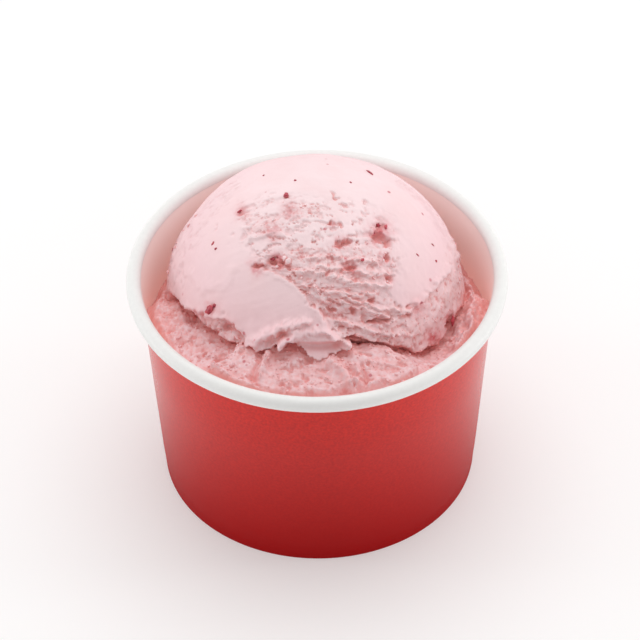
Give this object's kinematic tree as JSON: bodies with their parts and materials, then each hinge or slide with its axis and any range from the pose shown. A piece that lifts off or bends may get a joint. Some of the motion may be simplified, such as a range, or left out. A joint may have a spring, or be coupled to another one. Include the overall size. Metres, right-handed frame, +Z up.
{
  "type": "paper cup of scooped strawberry ice cream",
  "caption": "Short round paper cup with a rolled rim, filled with a torn lower scoop of strawberry ice cream and topped with a rounder upper scoop.",
  "frame": {"origin": "centre of the foot of the cup, on the surface it stands on", "axes": "+Z up out of the cup, -Y towards the side where the upper scoop shows its torn face, +X to the right of that side"},
  "size_m": [0.0948, 0.0948, 0.0827],
  "materials": {
    "printed_paper": "red printed and coated paperboard, satin, white inside and on the rim",
    "plain_paper": "uncoated white paperboard, matt",
    "torn_ice_cream": "rough, moist and slightly translucent",
    "smooth_ice_cream": "soft satin skin, slightly translucent"
  },
  "bodies": {
    "root": {"cup_wall": "printed_paper", "cup_base": "plain_paper", "lower_scoop": "torn_ice_cream", "upper_scoop": "smooth_ice_cream"}
  },
  "joints": []
}
